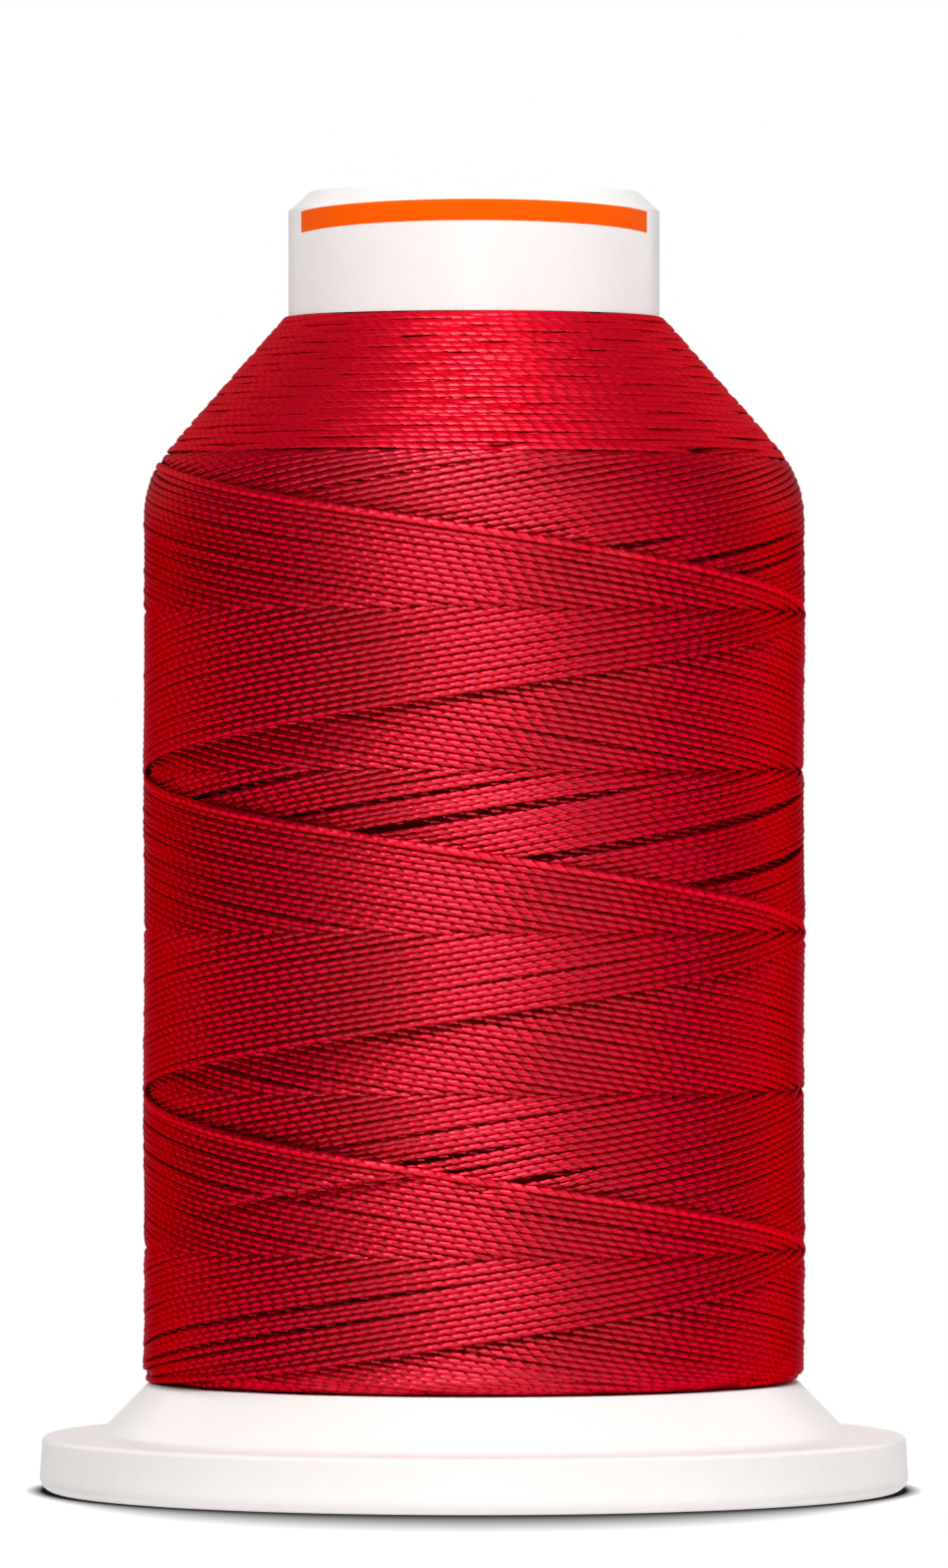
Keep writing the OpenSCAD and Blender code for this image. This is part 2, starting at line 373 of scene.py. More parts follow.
RISING_LINE = LOW_APEX - CLIMB * (NEWEST_START + 2 * RING_STEP)
CELL = 0.04  # of the height field that holds the package's surface
GRID_START = 6.0
GRID_TOP_Z = 82.5
FLATTEN = 0.5  # share of its half depth by which a turn beds in
SLACK = 0.13
TOUCH = 0.62  # share of the width that rests on what is below
STEP_UP = 0.10  # rise from the oldest turns to the newest
LAYER = 0.16  # growth of the package in half a cycle of courses
PRESS = 0.93
SPARE = 0.06  # of height that a turn may keep above the level that it is due
SPANS = (8, 4, 2, 1)  # rings to each side over which a turn is pulled straight
SPAN_ROUNDS = 3
STEPS_FADE_FROM = 2.5  # below the highest apex, the steps between turns fade out
STEPS_FADE = 3.5
WANDER_WAVES = 4
WANDER_RATES = (0.4, 3.0)  # waves in a turn
WANDER_SHARE = 0.7
PRESS_BLUR = np.array([1.0, 2.0, 3.0, 2.0, 1.0])
HAIR = 1e-6
draw = np.random.default_rng(7)

grid_rows = int((float(length_at(np.array(GRID_TOP_Z))) - GRID_START) / CELL) + 1
grid_length = GRID_START + np.arange(grid_rows) * CELL
grid_height = outline_at(grid_length)[1]
surface = np.zeros((TURN_RINGS, grid_rows))
pressed = np.zeros((TURN_RINGS, grid_rows))


def ring_angles(first_ring, count):
    return (first_ring + np.arange(count)) * RING_STEP


def since_covered(distance):
    """Share of a cycle since the thread last ran at a distance from its newest line."""
    return (distance % PITCH) / PITCH


def expected_level(angle, height, courses_laid):
    """Level of the package's surface after so many courses of the newest layer."""
    back = COURSE_STEP * CLIMB * (COURSES - courses_laid)
    age_falling = since_covered(FALLING_LINE - back - (height + CLIMB * angle) + HAIR)
    age_rising = since_covered(height - CLIMB * angle - (RISING_LINE + back) + HAIR)
    growth = 2 * LAYER * courses_laid / COURSES
    steps = STEP_UP * (1 - age_falling / 2 - age_rising / 2) + growth
    on_cone = np.clip((height - HIGH_APEX + STEPS_FADE_FROM) / STEPS_FADE, 0, 1)
    return steps * (1 - on_cone)


def pulled_taut(level, radius):
    """Thread under tension spans hollows in straight lines between high places."""
    bow = math.radians(RING_STEP) ** 2 * radius
    for repeat in range(SPAN_ROUNDS):
        for span in SPANS:
            middle = (level[2 * span:] + level[:-2 * span] - span ** 2 * bow[span:-span]) / 2
            level[span:-span] = np.maximum(level[span:-span], middle)
    return level


def blurred(values, kernel):
    reach = len(kernel) // 2
    return np.convolve(np.pad(values, reach, mode="edge"), kernel / kernel.sum(), "valid")


def lay_turns(first_ring, height, half_width, half_depth, limit):
    """Lay a run of thread on the surface and return what its place needs."""
    half = int(half_width / CELL)
    offsets = np.arange(-half, half + 1)
    lift = half_depth * np.sqrt(1 - (offsets * CELL / half_width) ** 2)
    touching = np.abs(offsets) * CELL < TOUCH * half_width
    length = length_at(height)
    radius = outline_at(length)[0]
    column = (first_ring + np.arange(len(length))) % TURN_RINGS
    row = np.clip(np.round((length - GRID_START) / CELL).astype(int), half, grid_rows - half - 1)
    cells = (column[:, None], row[:, None] + offsets)
    level = (surface[cells] + lift)[:, touching].max(axis=1)
    level = pulled_taut(level, radius) - FLATTEN * half_depth
    sink = blurred(PRESS * np.maximum(level + half_depth - limit, 0), PRESS_BLUR)
    level = np.maximum(level - sink, limit - half_depth - SLACK)
    surface[cells] -= sink[:, None]
    pressed[cells] += sink[:, None]
    surface[cells] = np.maximum(surface[cells], level[:, None] + lift)
    return [column, row, length, level, pressed[column, row].copy()]


def wander(count, size):
    """Slow sideways drift of a run of thread."""
    turns = np.arange(count) * RING_STEP / 360
    drift = np.zeros(count)
    for wave in range(WANDER_WAVES):
        rate = draw.uniform(*WANDER_RATES)
        drift += WANDER_SHARE * size * np.sin(2 * math.pi * (rate * turns + draw.uniform()))
    return drift


surface += expected_level(np.arange(TURN_RINGS)[:, None] * RING_STEP, grid_height[None, :], 0)

# Turnbacks of the earlier cycles, which show on the cone: each lies a little
# lower than the last, as the winder shortens its stroke. The first run closes
# the cone's top edge round the collar.
CYCLE_DROP = 0.79
TURNBACKS_PER_CYCLE = 14
TURNBACK_TOP = 81.2
TURNBACK_LIMIT = 0.12
TURNBACK_REACH = 90
TURNBACK_WIDTH = (130, 200)
TURNBACK_STEP = 137.5  # turn from one turnback to the next, so that none line up
TURNBACK_STRAY = 3
TURNBACK_WANDER = 0.03
RIM_GAP = 0.2
RIM_TURNS = 4
RIM_LEVEL_TURNS = 1.1
RIM_DROP = 0.4

rim_turn = np.arange(RIM_TURNS * TURN_RINGS) / TURN_RINGS
rim_height = COLLAR_Z - RIM_GAP - RIM_DROP * np.maximum(rim_turn - RIM_LEVEL_TURNS, 0)
turnback_runs = [lay_turns(0, rim_height, FLAT_HALF_WIDTH, FLAT_HALF_DEPTH, TURNBACK_LIMIT)]
last_apex = HIGH_APEX - CLIMB * HIGH_TURNBACK / 2
turnback_count = int((TURNBACK_TOP - last_apex) / CYCLE_DROP * TURNBACKS_PER_CYCLE)
reach = int(TURNBACK_REACH / RING_STEP)
distance = np.abs(np.arange(-reach, reach + 1) * RING_STEP)
for number in range(turnback_count):
    apex = TURNBACK_TOP - (number + 0.5) * CYCLE_DROP / TURNBACKS_PER_CYCLE
    turn_angle = NEWEST_START + number * TURNBACK_STEP + draw.uniform(-TURNBACK_STRAY, TURNBACK_STRAY)
    width = draw.uniform(*TURNBACK_WIDTH)
    fall = np.where(
        distance < width, CLIMB * distance ** 2 / (2 * width), CLIMB * (distance - width / 2)
    )
    height = apex - fall + wander(len(distance), TURNBACK_WANDER)
    first_ring = int(round(turn_angle / RING_STEP)) - reach
    turnback_runs.append(lay_turns(
        first_ring, np.minimum(height, COLLAR_Z - RIM_GAP),
        FLAT_HALF_WIDTH, FLAT_HALF_DEPTH, TURNBACK_LIMIT,
    ))

# Places where neighbouring courses of the rising thread part and leave a slit:
# course counted back from the newest, angles of its ends, turn up from the
# foot, and width.
SLITS = (
    (40.0, -64, -27, 2, 0.36), (34.0, -42, 12, 2, 0.44), (27.1, -20, 10, 0, 0.44),
    (22.2, -5, 22, 0, 0.40), (29.8, -30, 32, 1, 0.53), (22.0, -8, 84, 1, 0.64),
    (13.2, 28, 90, 1, 0.64), (17.6, 14, 40, 2, 0.35), (13.6, 30, 78, 2, 0.32),
    (11.0, 38, 80, 2, 0.27), (8.6, -95, 5, 0, 0.27), (5.2, -95, -5, 0, 0.27),
    (25.6, -60, 20, 0, 0.29), (33.5, 10, 70, 0, 0.29),
)
SLIT_SPREAD = 3.5  # courses over which the parting dies away
RUN_IN = 60  # a slit starts at most this far before its run does
SMALL_SPAN = (20, 110)
SMALL_WIDTH = (0.04, 0.12)
FALLING_SMALL = 45
RISING_SMALL = 70


def small_slits(count):
    """Slits too small to place one by one."""
    slits = []
    for number in range(count):
        course = draw.uniform(0.5, COURSES - 0.5)
        start = draw.uniform(-180, 180)
        end = start + draw.uniform(*SMALL_SPAN)
        turn = int(draw.integers(0, 3))
        slits.append((course, start, end, turn, draw.uniform(*SMALL_WIDTH)))
    return tuple(slits)


FALLING_SLITS = small_slits(FALLING_SMALL)
RISING_SLITS = SLITS + small_slits(RISING_SMALL)


def slit_middle(start, end, turn, first_angle):
    """Angle of a slit's middle, wound on from the angle where its run starts."""
    wound = start
    while wound < first_angle - RUN_IN:
        wound += 360
    return wound + 360 * turn + (end - start) / 2


def opened_at(angle, middle, start, end):
    """Share of its width that a slit has at an angle."""
    half_length = (end - start) / 2
    return np.clip(1 - np.abs((angle - middle) / half_length) ** 3, 0, 1)


def parted(slits, course, first_ring, count):
    """Sideways shift of a course that opens the slits beside it."""
    first_angle = first_ring * RING_STEP
    angle = first_angle + np.arange(count) * RING_STEP
    shift = np.zeros(count)
    for slit_course, start, end, turn, width in slits:
        beyond = course - slit_course
        side = -1 if beyond < 0 else 1
        opened = opened_at(angle, slit_middle(start, end, turn, first_angle), start, end)
        shift += side * width / 2 * math.exp(-abs(beyond) / SLIT_SPREAD) * opened
    return shift


def pass_heights():
    """Heights of a falling pass, which turns back gently at both ends."""
    after = np.arange(PASS_RINGS + 1) * RING_STEP
    before = after[::-1]
    high = np.where(
        after < HIGH_TURNBACK,
        CLIMB * (after - after ** 2 / (2 * HIGH_TURNBACK) - HIGH_TURNBACK / 2), 0,
    )
    low = np.where(
        before < LOW_TURNBACK,
        CLIMB * (LOW_TURNBACK / 2 + before ** 2 / (2 * LOW_TURNBACK) - before), 0,
    )
    return HIGH_APEX - CLIMB * after + high + low, after


PASS_WANDER = 0.02
HELD_RINGS = 15  # rings over which the winder's guide lets a pass drift
STROKE_EASE = 90
END_RINGS = 530  # rings in the last rising run, which ends at the back
FOOT_GAP = 0.04
LOWEST = SEAT_Z + THREAD_HALF_WIDTH + FOOT_GAP
plain_height, after_top = pass_heights()
ring_count = PASS_RINGS + 1
from_start = np.arange(ring_count)
held = np.minimum(np.minimum(from_start, from_start[::-1]) / HELD_RINGS, 1)
traverse_runs = []


def lay_pass(first_ring, height, courses_laid):
    """Lay a falling or rising run as far as it goes, and keep it."""
    height = np.maximum(height, LOWEST)
    angle = ring_angles(first_ring, len(height))
    limit = expected_level(angle, height, courses_laid) + SPARE
    run = lay_turns(first_ring, height, THREAD_HALF_WIDTH, THREAD_HALF_DEPTH, limit)
    traverse_runs.append([first_ring] + run)


for course in range(COURSES, -1, -1):
    first_ring = int(round((NEWEST_START - COURSE_STEP * course) / RING_STEP))
    low_ring = first_ring + PASS_RINGS
    stroke = CYCLE_DROP * course / COURSES * np.maximum(0, 1 - after_top / STROKE_EASE) ** 2
    if course < COURSES:
        falling = plain_height + stroke + wander(ring_count, PASS_WANDER) * held
        falling = falling - parted(FALLING_SLITS, course, first_ring, ring_count)
        lay_pass(first_ring, falling, COURSES - course)
    rising = (plain_height + stroke)[::-1] + wander(ring_count, PASS_WANDER) * held
    rising = rising + parted(RISING_SLITS, course, low_ring, ring_count)
    lay_pass(low_ring, rising if course else rising[:END_RINGS], COURSES - course)


# --- Winding: relief --------------------------------------------------------
# Once all is laid, the runs are given their place on the package: its outline
# follows the mean of the crests, the newest turns stand a little proud of a
# hollow along them, and turns under an open slit lie deeper.
OWN_WIDTH = 0.2
HOLLOW = 0.58
HOLLOW_SHARE = 0.13  # of a cycle, from the newest turns
OVER_SHARE = 0.4  # of the hollow, on the falling thread's side
HOLLOW_POWER = 1.5
HOLLOW_MARGIN = 1  # at each end of the straight side there is no hollow
HOLLOW_LOW_EASE = 3
HOLLOW_HIGH_EASE = 7
FRONT_POWER = 0.9
SLIT_DEPTH = 0.42
SLIT_EDGE = 0.08
PROUD = (0.26, 0.08)  # of the newest falling and rising runs
CONE_EVENNESS = 0.5  # share of the relief that the cone loses
EVEN_OVER = 2
CREST_CELLS = 6
CREST_BLUR = 31
DIP_RINGS = 2
DIP_SHARE = 0.7
DIP_BLUR = np.array([1.0, 2.0, 1.0])
EDGE_R = 1.0  # rounding of the package's lower edge
EDGE_SHARE = 0.98  # of that rounding which the thread follows

crest = surface.copy()
for shift in range(-CREST_CELLS, CREST_CELLS + 1):
    crest = np.maximum(crest, np.roll(surface, shift, axis=1))
datum = blurred(crest.mean(axis=0), np.ones(CREST_BLUR))


def front_share(angle):
    """Relief is fullest in front and flattens towards the sides and the back."""
    return np.maximum(np.cos(np.radians(angle)), 0) ** FRONT_POWER


def beside_newest(age):
    """Share of the hollow's depth where the thread of this age is the oldest."""
    return np.clip((age - 1 + HOLLOW_SHARE) / HOLLOW_SHARE, 0, 1) ** HOLLOW_POWER


def hollow_at(angle, height):
    """Depth of the hollow that lies along the newest turns, over the oldest ones."""
    age_falling = since_covered(FALLING_LINE - (height + CLIMB * angle) + OWN_WIDTH)
    age_rising = since_covered(height - CLIMB * angle - RISING_LINE + OWN_WIDTH)
    depth = HOLLOW * (beside_newest(age_rising) + OVER_SHARE * beside_newest(age_falling))
    from_foot = (height - SEAT_Z - HOLLOW_MARGIN) / HOLLOW_LOW_EASE
    from_cone = (HIGH_APEX - HOLLOW_MARGIN - height) / HOLLOW_HIGH_EASE
    away_from_ends = np.clip(np.minimum(from_foot, from_cone), 0, 1)
    return depth * away_from_ends * front_share(angle)


def slit_hollow(angle, height):
    """Depth of the older turns below the slits, where nothing holds them up."""
    depth = np.zeros(len(angle))
    for course, start, end, turn, width in SLITS:
        first_angle = NEWEST_START - COURSE_STEP * course + PASS_RINGS * RING_STEP
        middle = slit_middle(start, end, turn, first_angle)
        unwound = angle + 360 * np.round((middle - angle) / 360)
        from_slit = height - LOW_APEX - CLIMB * (unwound - first_angle)
        across = from_slit / (width + SLIT_EDGE)
        opened = opened_at(unwound, middle, start, end)
        depth = np.maximum(depth, opened * np.exp(-across ** 2))
    return SLIT_DEPTH * depth


def course_points(first_ring, column, row, length, level, pressed_then):
    """Points of a run of thread and its slope, once later turns have pressed it."""
    settled = level - (pressed[column, row] - pressed_then)
    dips = [np.roll(settled, shift) for shift in range(-DIP_RINGS, DIP_RINGS + 1)]
    settled = blurred((1 - DIP_SHARE) * settled + DIP_SHARE * np.min(dips, axis=0), DIP_BLUR)
    radius, height, slope = outline_at(length)
    degrees = ring_angles(first_ring, len(length))
    falls = height[-1] < height[0]
    depth = settled - datum[row] - hollow_at(degrees, height)
    depth = depth - (slit_hollow(degrees, height) if falls else 0)
    depth = depth * (1 - CONE_EVENNESS * np.clip((height - HIGH_APEX) / EVEN_OVER, 0, 1))
    radius = radius + depth * np.cos(slope)
    height = height + depth * np.sin(slope)
    near_foot = np.clip((SEAT_Z + EDGE_R - height) / EDGE_R, 0, EDGE_SHARE)
    radius = radius - EDGE_R * (1 - np.sqrt(1 - near_foot ** 2))
    angle = np.radians(degrees)
    return np.stack([radius * np.sin(angle), -radius * np.cos(angle), height, slope], axis=1)


# --- Winding: thread --------------------------------------------------------
# The thread itself: three glossy red plies with a Z twist. Its runs are swept
# as tubes with a flattened round section, and its end is tucked in at the back.
PLIES = 3
LAY_MM = 3.0  # length of thread in which a ply goes round once
CROWN_POWER = 1.7
GAP_POWER = 2.6
GAP_SHADE = 0.25
DRIFT_SHADE = 0.12
# Over these heights the thread's painted shade is also lifted, as painted light, to at least
# CONE_SHARE.
CONE_FROM = 65.5  # from here up the thread lies flatter and its plies show less
CONE_TO = 69.5
CONE_SHARE = 0.6
CONE_DULLING = 0.3
GLOSS = 0.44
CONE_GLOSS = 0.45
TUBE_SIDES = 8
SQUARENESS = 0.8
PROUD_HALF_WIDTH = 0.28
PROUD_HALF_DEPTH = 0.21


def twisted_plies():
    """Node group: three plies with a Z twist, read from the thread's own UV map, with painted shade
    in the ply grooves and on the tube's sides, and painted light near the cone.
    """
    group = bpy.data.node_groups.new("twisted_plies", "ShaderNodeTree")
    group.interface.new_socket("Plies Per Mm", in_out="INPUT", socket_type="NodeSocketFloat")
    for name in ("Crown", "Fibres", "Outside Painted Shade", "Shade", "Drift", "Cone"):
        group.interface.new_socket(name, in_out="OUTPUT", socket_type="NodeSocketFloat")
    given = add_node(group, "NodeGroupInput")

    uv = add_node(group, "ShaderNodeUVMap", uv_map="UVMap").outputs[0]
    parts = add_node(group, "ShaderNodeSeparateXYZ", {0: uv})
    along = parts.outputs[0]
    around = parts.outputs[1]
    twist = maths(
        group, "ADD",
        maths(group, "MULTIPLY", along, given.outputs["Plies Per Mm"]),
        maths(group, "MULTIPLY", around, float(PLIES)),
    )
    across = maths(group, "SUBTRACT", maths(group, "FRACT", twist), 0.5)
    squared = maths(group, "MULTIPLY", across, maths(group, "MULTIPLY", across, 4.0))
    crown = maths(group, "SUBTRACT", 1.0, maths(group, "POWER", squared, CROWN_POWER))
    gap = maths(group, "SUBTRACT", 1.0, maths(group, "POWER", squared, GAP_POWER))

    fibre_place = add_node(
        group, "ShaderNodeCombineXYZ",
        {0: maths(group, "MULTIPLY", twist, 9.0), 1: maths(group, "MULTIPLY", along, 0.9), 2: 0.0},
    )
    fibres = add_node(
        group, "ShaderNodeTexNoise", {"Vector": fibre_place.outputs[0], "Scale": 1.0, "Detail": 2.0}
    ).outputs["Fac"]
    drift_place = add_node(
        group, "ShaderNodeCombineXYZ", {0: maths(group, "MULTIPLY", along, 0.11), 1: 0.0, 2: 0.0}
    )
    drift = add_node(
        group, "ShaderNodeTexNoise", {"Vector": drift_place.outputs[0], "Scale": 1.0, "Detail": 2.0}
    ).outputs["Fac"]

    # Painted shade: the grooves between plies are darkened, and the tube's sides, where neighbouring
    # turns touch, darker still.
    outward = maths(group, "SUBTRACT", maths(group, "MULTIPLY", around, 2.0), 1.0)
    painted_side_shade = ramp(group, maths(group, "ABSOLUTE", outward), 0.35, 0.7, 0.25, 1.0)
    outside_painted_shade = maths(group, "MINIMUM", maths(group, "MULTIPLY", gap, 1.5), 1.0)
    outside_painted_shade = maths(
        group, "ADD", maths(group, "MULTIPLY", outside_painted_shade, 1 - GAP_SHADE), GAP_SHADE
    )
    outside_painted_shade = maths(group, "MULTIPLY", outside_painted_shade, painted_side_shade)
    height = add_node(group, "ShaderNodeSeparateXYZ", {0: object_place(group)}).outputs[2]
    cone = ramp(group, height, CONE_FROM * MM, CONE_TO * MM, 0.0, CONE_SHARE)
    fibre_shade = maths(group, "ADD", maths(group, "MULTIPLY", fibres, 0.5), 0.7)
    # Painted light: near the cone the shade is raised to the cone's share.
    shade = maths(group, "MAXIMUM", maths(group, "MULTIPLY", outside_painted_shade, fibre_shade), cone)
    add_node(
        group, "NodeGroupOutput",
        {"Crown": crown, "Fibres": fibres, "Outside Painted Shade": outside_painted_shade, "Shade": shade,
         "Drift": drift, "Cone": cone},
    )
    return group


plies = twisted_plies()


def dyed_thread(name, shade_and_drift_red, bright, ply_depth, roughness, metallic):
    """Red thread: saturated sheen on its plies, a paler gloss where it faces out, and a darker red
    mixed in as painted shade and as drift at random.
    """
    material = new_material(name)
    tree = material.node_tree
    ply = add_node(
        tree, "ShaderNodeGroup", {"Plies Per Mm": PLIES / LAY_MM}, node_tree=plies
    ).outputs
    body = mix_colours(tree, ply["Shade"], shade_and_drift_red, bright)
    body = mix_colours(tree, maths(tree, "MULTIPLY", ply["Drift"], DRIFT_SHADE), body, shade_and_drift_red)
    dulled = maths(tree, "SUBTRACT", 1.0, maths(tree, "MULTIPLY", ply["Cone"], CONE_DULLING))
    facing = add_node(tree, "ShaderNodeLayerWeight", {"Blend": 0.5}).outputs["Facing"]
    gloss = maths(tree, "ADD", GLOSS, maths(tree, "MULTIPLY", ply["Cone"], CONE_GLOSS))
    shown_gloss = maths(tree, "MULTIPLY", ramp(tree, facing, 0.0, 0.2, 1.0, 0.0), ply["Outside Painted Shade"])
    ply_bump = add_node(
        tree, "ShaderNodeBump",
        {"Strength": 1.0, "Distance": ply_depth * MM, "Height": ply["Crown"]},
    )
    fibre_bump = add_node(
        tree, "ShaderNodeBump",
        {"Strength": 0.5, "Distance": 0.02 * MM, "Height": ply["Fibres"],
         "Normal": ply_bump.outputs[0]},
    )
    shader = add_node(
        tree, "ShaderNodeBsdfPrincipled",
        {"Base Color": body, "Roughness": roughness,
         "Metallic": maths(tree, "MINIMUM", metallic, dulled),
         "Specular IOR Level": 0.15, "Specular Tint": (0.4, 0.08, 0.2, 1),
         "Coat Weight": maths(tree, "MULTIPLY", gloss, shown_gloss),
         "Coat Roughness": 0.4, "Coat IOR": 1.8,
         "Normal": fibre_bump.outputs[0], "Coat Normal": fibre_bump.outputs[0]},
    )
    add_surface(tree, shader)
    return material


# The proud newest run and the flat turns on the cone are lighter copies of the same red: painted
# light where they catch the lamps.
red_thread = dyed_thread(
    "red_thread", (0.05, 0.0001, 0.001, 1), (0.83, 0.004, 0.031, 1), 0.032, 0.38, 1.0
)
proud_thread_painted_lighter = dyed_thread(
    "red_thread_proud_painted_lighter", (0.20, 0.0005, 0.005, 1), (1.0, 0.005, 0.036, 1), 0.036, 0.43, 1.0
)
flat_thread_painted_lighter = dyed_thread(
    "red_thread_flat_painted_lighter", (0.45, 0.001, 0.010, 1), (1.0, 0.006, 0.034, 1), 0.036, 0.50, 0.82
)


def rounded_square(value):
    return math.copysign(abs(value) ** SQUARENESS, value)


def thread_section(half_width, half_depth):
    """Flattened round of the thread, as the section that the tubes are swept with."""
    outline = bpy.data.curves.new("thread_section", "CURVE")
    outline.dimensions = "2D"
    rim = outline.splines.new("POLY")
    rim.use_cyclic_u = True
    rim.points.add(TUBE_SIDES - 1)
    for side, point in enumerate(rim.points):
        angle = 2 * math.pi * side / TUBE_SIDES
        x = half_depth * MM * rounded_square(math.cos(angle))
        y = half_width * MM * rounded_square(math.sin(angle))
        point.co = (x, y, 0, 1)
    section = bpy.data.objects.new("thread_section", outline)
    scene.collection.objects.link(section)
    return section


def add_run(curve, path):
    """Add a run of thread to a curve and return the lengths along it."""
    spline = curve.splines.new("POLY")
    spline.points.add(len(path) - 1)
    places = np.ones((len(path), 4))
    places[:, :3] = path[:, :3] * MM
    spline.points.foreach_set("co", places.ravel())
    spline.points.foreach_set("tilt", -path[:, 3])
    steps = np.linalg.norm(np.diff(path[:, :3], axis=0), axis=1)
    return np.concatenate([[0.0], np.cumsum(steps)]) + draw.uniform(0, 100)


def thread_piece(name, paths, section, material):
    """Thread along paths, as tubes whose UV map runs along and round the thread."""
    curve = bpy.data.curves.new(name, "CURVE")
    curve.dimensions = "3D"
    curve.twist_mode = "Z_UP"
    curve.bevel_mode = "OBJECT"
    curve.bevel_object = section
    curve.use_fill_caps = True
    along = np.concatenate([add_run(curve, path) for path in paths])
    tube = bpy.data.objects.new(name, curve)
    scene.collection.objects.link(tube)
    bpy.context.view_layer.update()
    graph = bpy.context.evaluated_depsgraph_get()
    mesh = bpy.data.meshes.new_from_object(tube.evaluated_get(graph))
    mesh.name = name
    bpy.data.objects.remove(tube)
    bpy.data.curves.remove(curve)
    piece = bpy.data.objects.new(name, mesh)
    scene.collection.objects.link(piece)

    # The end caps' points come first, then the rings in the order of the paths.
    caps = 2 * TUBE_SIDES * len(paths)
    corner_vertex = np.zeros(len(mesh.loops), dtype=np.int32)
    mesh.loops.foreach_get("vertex_index", corner_vertex)
    ring = np.maximum(corner_vertex - caps, 0) // TUBE_SIDES
    uv_layer = mesh.uv_layers.active
    uv = np.zeros(2 * len(mesh.loops), dtype=np.float32)
    uv_layer.data.foreach_get("uv", uv)
    uv = uv.reshape(-1, 2)
    uv[:, 0] = along[ring]
    uv_layer.data.foreach_set("uv", uv.ravel())
    shape = bmesh.new()
    shape.from_mesh(mesh)
    bmesh.ops.remove_doubles(shape, verts=shape.verts, dist=1e-7)
    shape.to_mesh(mesh)
    shape.free()
    mesh.materials.clear()
    mesh.materials.append(material)
    smooth_shade(piece)
    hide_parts("wound_layers", "outer_turns")
    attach(piece, "root")


section = thread_section(THREAD_HALF_WIDTH, THREAD_HALF_DEPTH)
proud_section = thread_section(PROUD_HALF_WIDTH, PROUD_HALF_DEPTH)
wide_section = thread_section(FLAT_HALF_WIDTH, FLAT_HALF_DEPTH)

# The newest falling and rising runs stand proud, and the last one's end is
# tucked in.
PIECE_COUNT = 6
TUCK_RINGS = 14
TUCK_DEPTH = 0.5
LEVEL = 4  # place of the level in a run's list
for run, proud in zip(traverse_runs[-2:], PROUD):
    run[LEVEL] = run[LEVEL] + proud * front_share(ring_angles(run[0], len(run[LEVEL])))
points = [course_points(*run) for run in traverse_runs]
end_points = points[-1][-TUCK_RINGS:]
sink = TUCK_DEPTH * np.linspace(0, 1, TUCK_RINGS) ** 2
end_points[:, :2] *= 1 - (sink / np.hypot(end_points[:, 0], end_points[:, 1]))[:, None]

# Runs that follow each other share the point where they turn back.
per_piece = 2 * COURSES // PIECE_COUNT
for number in range(PIECE_COUNT):
    start = number * per_piece + (1 if number else 0)
    stop = min((number + 1) * per_piece + 1, len(points) - 2)
    joined = [points[start - 1][-1:], points[start][1:]] if number else [points[start]]
    joined += [run_points[1:] for run_points in points[start + 1:stop]]
    paths = [np.concatenate(joined)]
    if number == PIECE_COUNT - 1:
        paths.append(points[-1])
    thread_piece("thread_traverses_%d" % (number + 1), paths, section, red_thread)
thread_piece("thread_newest_fall", [points[-2]], proud_section, proud_thread_painted_lighter)

# Of the turnbacks on the cone, only stretches that show are kept.
SHOWN_DEPTH = 0.3
MARGIN = 3
shown_paths = []
for column, row, length, level, pressed_then in turnback_runs:
    path = course_points(int(column[0]), column, row, length, level, pressed_then)
    settled = level - (pressed[column, row] - pressed_then)
    shown = settled + FLAT_HALF_DEPTH > crest[column, row] - SHOWN_DEPTH
    shown = np.convolve(shown, np.ones(2 * MARGIN + 1), "same") > 0
    ends = np.flatnonzero(np.diff(np.concatenate([[0], shown.astype(int), [0]])))
    for start, stop in zip(ends[::2], ends[1::2]):
        if stop - start > 2 * MARGIN:
            shown_paths.append(path[start:stop])
middle = len(shown_paths) // 2
thread_piece("thread_turnbacks_high", shown_paths[:middle], wide_section, flat_thread_painted_lighter)
thread_piece("thread_turnbacks_low", shown_paths[middle:], wide_section, flat_thread_painted_lighter)
for used_section in (section, proud_section, wide_section):
    bpy.data.objects.remove(used_section)


# --- Floor and light --------------------------------------------------------
# A plain white floor and room, lit by a key light high in front, a weak light
# low in front, one at the right, a small one above the cone, and two behind.
FLOOR_SIZE = 6.0
# The floor's painted shadow round the foot: where it starts, and how far it reaches.
CONTACT_R = 0.0298  # metres from here on: the shadow's edge under the foot
SHADE_FRONT = 0.0168  # how far it reaches in front
SHADE_SIDE = 0.0012  # and at the sides
# Painted light: near the foot the floor glows to every ray but the camera's.
PAINTED_GLOW_NEAR_FOOT = 0.35  # light thrown back up on the rim's lower edge
FLOOR_GREY = (0.6, 0.6, 0.6, 1)
PAINTED_SHADOW_GREY = (0.02, 0.02, 0.02, 1)
AIM = (0, 0, 0.045)
LIGHTS = (  # name, place, width, height and watts
    ("key_light", (-0.025, -0.85, 0.90), 0.25, 0.25, 8.6),
    ("front_light", (-0.02, -1.1, 0.20), 0.25, 0.25, 0.9),
    ("side_light", (0.75, -0.43, 0.40), 0.4, 0.4, 0.65),
    ("top_light", (0.0, -0.30, 1.10), 0.25, 0.25, 1.0),
    ("left_light", (-0.53, 0.61, 0.25), 0.4, 0.8, 1.0),
    ("right_light", (0.60, 0.54, 0.25), 0.4, 0.8, 1.25),
)
FILL = 0.50
DIM_ROOM = 0.06  # the room's light on every ray that sees no white wall


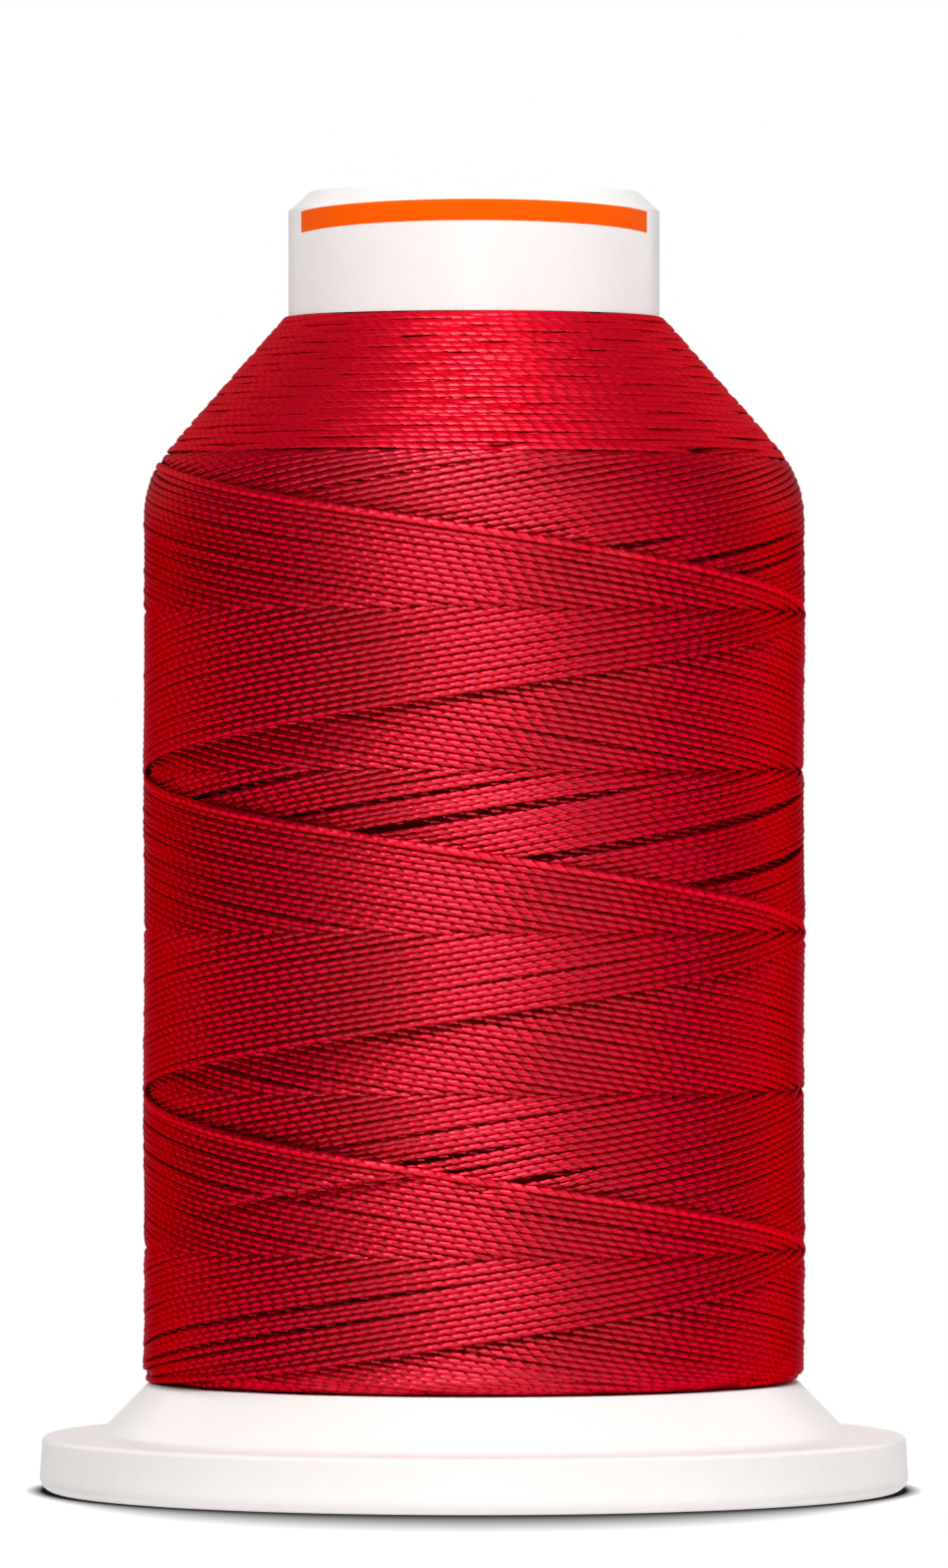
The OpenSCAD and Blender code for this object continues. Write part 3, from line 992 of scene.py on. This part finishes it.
def white_floor():
    """White to the camera, with a painted soft shadow that starts under the foot's rim."""
    material = new_material("white_floor")
    tree = material.node_tree
    path = add_node(tree, "ShaderNodeLightPath")
    camera_ray = path.outputs["Is Camera Ray"]
    mirrored = maths(
        tree, "MAXIMUM", path.outputs["Is Glossy Ray"], path.outputs["Is Transmission Ray"]
    )
    seen = maths(tree, "MAXIMUM", camera_ray, maths(tree, "MULTIPLY", mirrored, 0.3))
    place = object_place(tree)
    radius = add_node(tree, "ShaderNodeVectorMath", {0: place}, operation="LENGTH").outputs["Value"]
    forward = maths(
        tree, "MULTIPLY", add_node(tree, "ShaderNodeSeparateXYZ", {0: place}).outputs[1], -1.0
    )
    in_front = maths(tree, "MAXIMUM", maths(tree, "DIVIDE", forward, radius), 0.0)
    front_reach = maths(tree, "MULTIPLY", maths(tree, "POWER", in_front, 4.0), SHADE_FRONT)
    reach = maths(tree, "ADD", front_reach, SHADE_SIDE)
    # Painted shadow: dark to the camera at the foot, fading out over its reach.
    beyond = maths(tree, "DIVIDE", maths(tree, "SUBTRACT", radius, CONTACT_R), reach)
    outside_painted_shadow = maths(tree, "MINIMUM", maths(tree, "MAXIMUM", beyond, 0.0), 1.0)
    # Painted light: that glow, strongest under the foot's rim.
    painted_glow_share = maths(tree, "POWER", maths(tree, "SUBTRACT", 1.0, outside_painted_shadow), 3.0)
    unseen = maths(tree, "MULTIPLY", maths(tree, "SUBTRACT", 1.0, camera_ray), PAINTED_GLOW_NEAR_FOOT)
    strength = maths(
        tree, "ADD",
        maths(tree, "MULTIPLY", seen, outside_painted_shadow), maths(tree, "MULTIPLY", unseen, painted_glow_share),
    )
    colour = mix_colours(tree, camera_ray, FLOOR_GREY, PAINTED_SHADOW_GREY)
    diffuse = add_node(tree, "ShaderNodeBsdfDiffuse", {"Color": colour})
    glow = add_node(tree, "ShaderNodeEmission", {"Color": (1, 1, 1, 1), "Strength": strength})
    both = add_node(tree, "ShaderNodeAddShader", {0: diffuse.outputs[0], 1: glow.outputs[0]})
    add_surface(tree, both)
    return material


shape = bmesh.new()
bmesh.ops.create_grid(shape, x_segments=1, y_segments=1, size=FLOOR_SIZE / 2)
floor = link_mesh("floor", shape)
floor.data.materials.append(white_floor())

for name, place, width, height, power in LIGHTS:
    light = bpy.data.lights.new(name, "AREA")
    light.shape = "RECTANGLE"
    light.size = width
    light.size_y = height
    light.energy = power
    lamp = bpy.data.objects.new(name, light)
    scene.collection.objects.link(lamp)
    lamp.location = place
    direction = Vector([end - start for start, end in zip(place, AIM)])
    lamp.rotation_euler = direction.to_track_quat("-Z", "Y").to_euler()

world = bpy.data.worlds.new("white_room")
world.use_nodes = True
scene.world = world
tree = world.node_tree
tree.nodes.clear()
path = add_node(tree, "ShaderNodeLightPath")
outward = add_node(tree, "ShaderNodeTexCoord").outputs["Generated"]
depth = add_node(tree, "ShaderNodeSeparateXYZ", {0: outward}).outputs[1]
behind = ramp(tree, depth, 0.9, 0.99, 0.0, 1.0)
seen = maths(
    tree, "MAXIMUM", path.outputs["Is Camera Ray"], path.outputs["Is Transmission Ray"]
)
seen = maths(tree, "MAXIMUM", seen, maths(tree, "MULTIPLY", path.outputs["Is Glossy Ray"], behind))
fill = maths(tree, "MULTIPLY", path.outputs["Is Diffuse Ray"], FILL)
room = maths(
    tree, "ADD", maths(tree, "MULTIPLY", seen, 1 - DIM_ROOM), maths(tree, "ADD", fill, DIM_ROOM)
)
background = add_node(
    tree, "ShaderNodeBackground", {"Color": (1, 1, 1, 1), "Strength": room}
)
add_node(tree, "ShaderNodeOutputWorld", {"Surface": background.outputs[0]})
